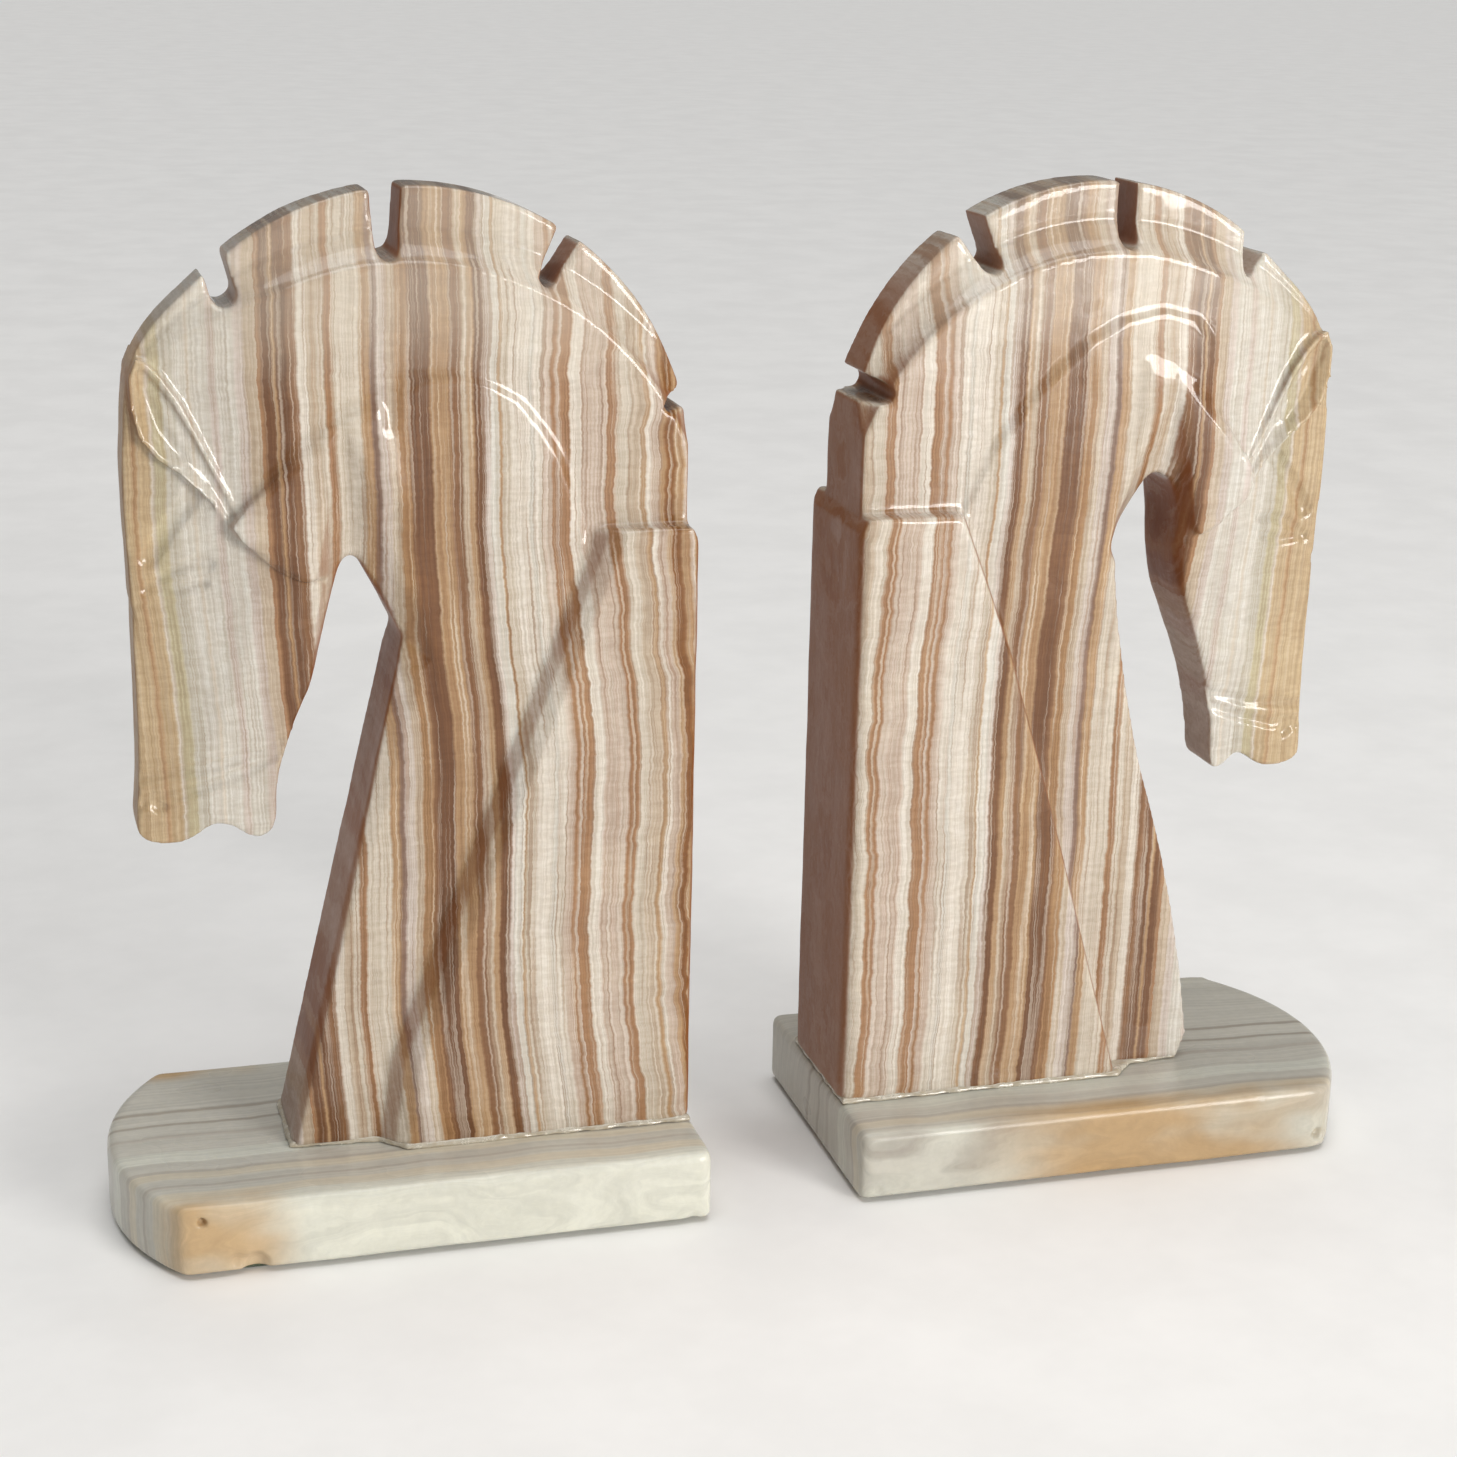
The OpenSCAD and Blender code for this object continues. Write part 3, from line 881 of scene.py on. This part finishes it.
bandedGroup = makeBandedGroup()
paleGroup = makePaleGroup()
onyxShine = {"Subsurface Weight": 0.12, "Subsurface Radius": (0.004, 0.0026, 0.0016),
             "Subsurface Scale": 1.0, "Coat Roughness": 0.05, "Coat IOR": 1.42, "Specular IOR Level": 0.15}
paleShine = {"Subsurface Weight": 0.15, "Subsurface Radius": (0.005, 0.0042, 0.0028),
             "Subsurface Scale": 1.0, "Coat Weight": 0.25, "Coat Roughness": 0.12, "Coat IOR": 1.42,
             "Specular IOR Level": 0.2}
stoneSettings = {  # lengths in mm
    "leftHead": {"Spread": 1.0, "Offset": 0.0, "Neck Lean": 4.2, "Foot Lean": 3.2, "Shade": 0.79,
                 "Gamma": 1.42},
    "rightHead": {"Spread": 0.962, "Offset": 10.7, "Neck Lean": 3.2, "Foot Lean": 0.8, "Shade": 0.8,
                  "Gamma": 1.36},
    "leftBase": {"Depth": 0.0, "Amber Middle": 105, "Amber Reach": 15, "Shade": 0.92},
    "rightBase": {"Depth": 9.0, "Amber Middle": 72, "Amber Reach": 42, "Shade": 0.8},
    "headDimples": 0.12,
    "baseDimples": 0.05,
}
headMaterials = {}
baseMaterials = {}
for sideName in sides:
    headMaterials[sideName] = shaderFrom(sideName + "BandedOnyx", bandedGroup,
                                         stoneSettings[sideName + "Head"], stoneSettings["headDimples"],
                                         onyxShine)
for sideName in sides:
    baseMaterials[sideName] = shaderFrom(sideName + "PaleOnyx", paleGroup,
                                         stoneSettings[sideName + "Base"], stoneSettings["baseDimples"],
                                         paleShine)


def makePlainGroup(name, finish):  # a speckled, slightly uneven finish
    group, given, made = newGroup(name, [("Place", "Vector")],
                                  [("Color", "Color"), ("Roughness", "Float"), ("Height", "Float")])
    x, y, z = placeInMm(group, given)
    speckle = grain(group, x, y, z, finish["scales"], 4, 0.7)
    share = ease(group, speckle, 0.3, 0.7)
    colour = blendColour(group, "MIX", share, tone(finish["dark"]), tone(finish["light"]))
    group.links.new(colour, made.inputs["Color"])
    group.links.new(ease(group, speckle, 0.3, 0.7, *finish["roughness"]), made.inputs["Roughness"])
    group.links.new(speckle, made.inputs["Height"])
    return group


plainFinishes = {  # speckles per mm on each axis, bump in mm, and the shader's own values
    "greenFelt": {"light": "5C6B4E", "dark": "2F3A28", "scales": (2.5, 0.9, 2.0), "roughness": (0.9, 1.0),
                  "bump": 0.3, "shine": {"Sheen Weight": 0.4, "Sheen Roughness": 0.6}},
    "paleResin": {"light": "E3DCCB", "dark": "CDBFA6", "scales": (0.4, 0.4, 0.6), "roughness": (0.12, 0.3),
                  "bump": 0.08, "shine": {"Transmission Weight": 0.35, "IOR": 1.5, "Coat Weight": 0.3}},
    "dowelSteel": {"light": "C9CBCE", "dark": "8F9296", "scales": (0.3, 0.3, 6.0), "roughness": (0.3, 0.45),
                   "bump": 0.02, "shine": {"Metallic": 1.0}},
    "palePlaster": {"light": "F4F3F1", "dark": "EFEEEC", "scales": (0.02, 0.02, 0.02),
                    "roughness": (0.7, 0.85), "bump": 0.01, "shine": {"Specular IOR Level": 0.2}},
}


def makePlainMaterial(name):
    finish = plainFinishes[name]
    return shaderFrom(name, makePlainGroup(name + "Grain", finish), {}, finish["bump"], finish["shine"])


feltMaterial = makePlainMaterial("greenFelt")
resinMaterial = makePlainMaterial("paleResin")
steelMaterial = makePlainMaterial("dowelSteel")
print("materials mixed:", len(bpy.data.node_groups), "node groups")


for sideName, shape in heads.items():
    head = makeHead(sideName, shape)
    makeOneStone(head, headShape["voxel"], headShape["polishPasses"])
    places = meshPlaces(head)
    x, z = places[:, 0], places[:, 2]
    nearX, farX, low, high = headShape["throatBox"]
    inFront = x > high - z * headShape["throatSlant"]  # leaves the neck out
    throatAndJaw = (x > nearX) & (x < farX) & (z > low) & (z < high) & inFront
    softenPart(head, "throatAndJaw", throatAndJaw, headShape["throatPasses"])
    carveLines(head)
    unevenSurface(head, "handPolish", headShape["lumpSize"], headShape["lumpHeight"])
    thinOut(head, headShape["faceLimit"])
    standUp(head, sides[sideName], shape["reach"])
    markAlongShelf(head)
    settle(head, sideName, "horse_head", headMaterials[sideName])
    print(sideName, "head carved and polished:", len(head.data.polygons), "faces")


baseShape = {
    "bow": 13,
    "bowSteps": 40,
    "edgeRound": 1.7,
    "underRound": 1.0,
    "bookCorner": 2.2,
    "noseCorner": {"left": 1.2, "right": 5},
    "voxel": 0.7,
    "polishPasses": 3,
    "lumpSize": 22,
    "lumpHeight": 0.3,
    "chips": {  # centre (from the book end, across, up) and radius in mm
        "left": [((98.5, -36.2, 2.2), 3.4), ((102.4, -36.4, 3.2), 2.6), ((109.2, -35, 13.1), 1.2),
                 ((109.2, -33.9, 13), 1.2), ((4.2, -36, 1.4), 2.0)],
        "right": [((4, -36.2, 2.6), 2.0), ((97, -36.8, 15.8), 2.4), ((112, -34, 4.5), 1.6),
                  ((60, -36, 0.6), 1.5)],
    },
}


def basePlan(margin=0.0):
    low, high = baseLow / mm, baseHigh / mm
    length, halfWidth = high.x - low.x, (high.y - low.y) / 2
    bow = baseShape["bow"]
    radius = (halfWidth ** 2 + bow ** 2) / (2 * bow)
    swing = math.degrees(math.asin(halfWidth / radius))
    bowed = arcPoints((length - radius, 0), radius - margin, -swing, swing, baseShape["bowSteps"])
    edge = halfWidth - margin
    bowed = [(x, y) for x, y in bowed if abs(y) < edge - 1.2]
    cornerX = length - bow - margin * 0.4
    return [(margin, -edge), (cornerX, -edge)] + bowed + [(cornerX, edge), (margin, edge)]


def makeBase(sideName):
    low, high = baseLow.z / mm, baseHigh.z / mm
    slabPiece = prism([(x, y, low) for x, y in basePlan()], (0, 0, high - low))
    noseCorner = (baseHigh.x - baseLow.x) / mm - baseShape["bow"]
    halfWidth = baseHigh.y / mm

    def isUpright(a, b):
        return abs(a.x - b.x) < 0.1 and abs(a.y - b.y) < 0.1 and abs(a.y) > halfWidth - 0.1

    def isLevel(a, b):
        return abs(a.z - b.z) < 0.1

    roundEdges(slabPiece, lambda a, b: isUpright(a, b) and a.x < 1, baseShape["bookCorner"])
    roundEdges(slabPiece, lambda a, b: isUpright(a, b) and a.x > noseCorner - 1,
               baseShape["noseCorner"][sideName])
    roundEdges(slabPiece, lambda a, b: isLevel(a, b) and a.z + b.z > high, baseShape["edgeRound"])
    roundEdges(slabPiece, lambda a, b: isLevel(a, b) and a.z + b.z < high, baseShape["underRound"])
    for centre, radius in baseShape["chips"][sideName]:
        bpy.ops.object.select_all(action="DESELECT")
        bpy.ops.mesh.primitive_ico_sphere_add(subdivisions=2, radius=radius * mm,
                                              location=[c * mm for c in centre])
        chip = bpy.context.object
        bpy.ops.object.transform_apply(location=True, rotation=True, scale=True)
        cutWith(slabPiece, chip)
        throwAway(chip)
    drillDowels(slabPiece)
    slabPiece.name = sideName + "OnyxBase"
    makeOneStone(slabPiece, baseShape["voxel"], baseShape["polishPasses"])
    unevenSurface(slabPiece, "paintedShadeSides", baseShape["lumpSize"], baseShape["lumpHeight"])
    standUp(slabPiece, sides[sideName])
    settle(slabPiece, sideName, "base", baseMaterials[sideName])


resinShape = {  # mm
    "bookFace": 0.6,
    "halves": (18.5, 13.2, 11.6, 9.5),  # half widths from the block to the foot of the chest
    "height": 1.3,
    "edgeRound": 0.8,
    "voxel": 0.45,
    "polishPasses": 2,
    "lumpSize": 4,
    "lumpHeight": 0.9,
    "lift": 0.02,  # kept clear of the base's top
}


def makeResin(sideName, shape):
    footX = shape["blockEdge"][-1][0] + 6
    under = baseHigh.z / mm
    reach = shape["reach"]
    blockHalf, stepHalf, neckHalf, noseHalf = resinShape["halves"]
    plan = [(resinShape["bookFace"], -blockHalf), (footX - 5, -blockHalf), (footX + 0.3, -stepHalf),
            (chestFoot[0] + 0.2, -neckHalf), (chestFoot[0] + 0.6, -noseHalf)]
    plan = plan + [(x, -y) for x, y in reversed(plan)]
    bead = prism([(x * reach, y, under) for x, y in plan], (0, 0, resinShape["height"]))
    roundEdges(bead, lambda a, b: min(a.z, b.z) > under + 1, resinShape["edgeRound"])
    bead.name = sideName + "ResinBead"
    makeOneStone(bead, resinShape["voxel"], resinShape["polishPasses"])
    unevenSurface(bead, "squeezedOut", resinShape["lumpSize"], resinShape["lumpHeight"])
    for vertex in bead.data.vertices:
        vertex.co.z = max(vertex.co.z, (under + resinShape["lift"]) * mm)
    standUp(bead, sides[sideName])
    settle(bead, sideName, "adhesive_bed", resinMaterial)


feltShape = {"margin": 3, "edgeRound": 0.3}  # mm


def makeFelt(sideName):
    low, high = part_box("right_felt_pad")
    plan = basePlan(feltShape["margin"])
    pad = prism([(x, y, low.z / mm) for x, y in plan], (0, 0, (high.z - low.z) / mm))
    roundEdges(pad, lambda a, b: abs(a.z - b.z) < 0.1, feltShape["edgeRound"])
    pad.name = sideName + "FeltPad"
    standUp(pad, sides[sideName])
    settle(pad, sideName, "felt_pad", feltMaterial)


for sideName, shape in heads.items():
    makeBase(sideName)
    makeResin(sideName, shape)
    makeFelt(sideName)
    for dowel in ("_rear_dowel", "_front_dowel"):
        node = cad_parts[sideName + dowel]
        node.data.materials.clear()
        node.data.materials.append(steelMaterial)
    print(sideName, "base, resin, felt and dowels done")


studio = {
    "floorSize": 40,
    "skyStrength": 0.14,
    "daylight": 1.85,
    "daylightSpread": 50,  # degrees
    "daylightHeight": 3,
    "aim": (0, 0, 0.1),
    "lights": [  # name, place, size (wide, tall), power, tint
        ("window", (0.86, -1.5, 0.43), (0.6, 0.72), 25, (1.0, 0.98, 0.95)),
        ("frontFill", (-0.5, -1.7, 0.9), (1.4, 0.8), 1.5, (0.96, 0.98, 1.0)),
        ("stripLeft", (-1.3, -0.8, 0.7), (0.25, 1.2), 0.5, (1.0, 1.0, 1.0)),
    ],
}


def lightStudio():
    bpy.ops.object.select_all(action="DESELECT")
    bpy.ops.mesh.primitive_plane_add(size=studio["floorSize"], location=(0, 0, shelfHeight))
    floor = bpy.context.object
    floor.name = "studioFloor"
    floor.data.materials.append(makePlainMaterial("palePlaster"))
    for name, place, size, power, tint in studio["lights"]:
        bpy.ops.object.light_add(type="AREA", location=place)
        lamp = bpy.context.object
        lamp.name = name
        lamp.data.shape = "RECTANGLE"
        lamp.data.size, lamp.data.size_y = size
        lamp.data.energy = power
        lamp.data.color = tint
        lamp.rotation_euler = (Vector(studio["aim"]) - Vector(place)).to_track_quat("-Z", "Y").to_euler()
    bpy.ops.object.light_add(type="SUN", location=(0, 0, studio["daylightHeight"]))
    daylight = bpy.context.object
    daylight.name = "daylight"
    daylight.data.energy = studio["daylight"]
    daylight.data.angle = math.radians(studio["daylightSpread"])
    world = bpy.data.worlds.new("studioAir")
    world.use_nodes = True
    sky = world.node_tree.nodes["Background"]
    sky.inputs["Color"].default_value = (1, 1, 1, 1)
    sky.inputs["Strength"].default_value = studio["skyStrength"]
    bpy.context.scene.world = world
    bpy.context.scene.view_settings.view_transform = "Standard"


lightStudio()
print("studio lit")
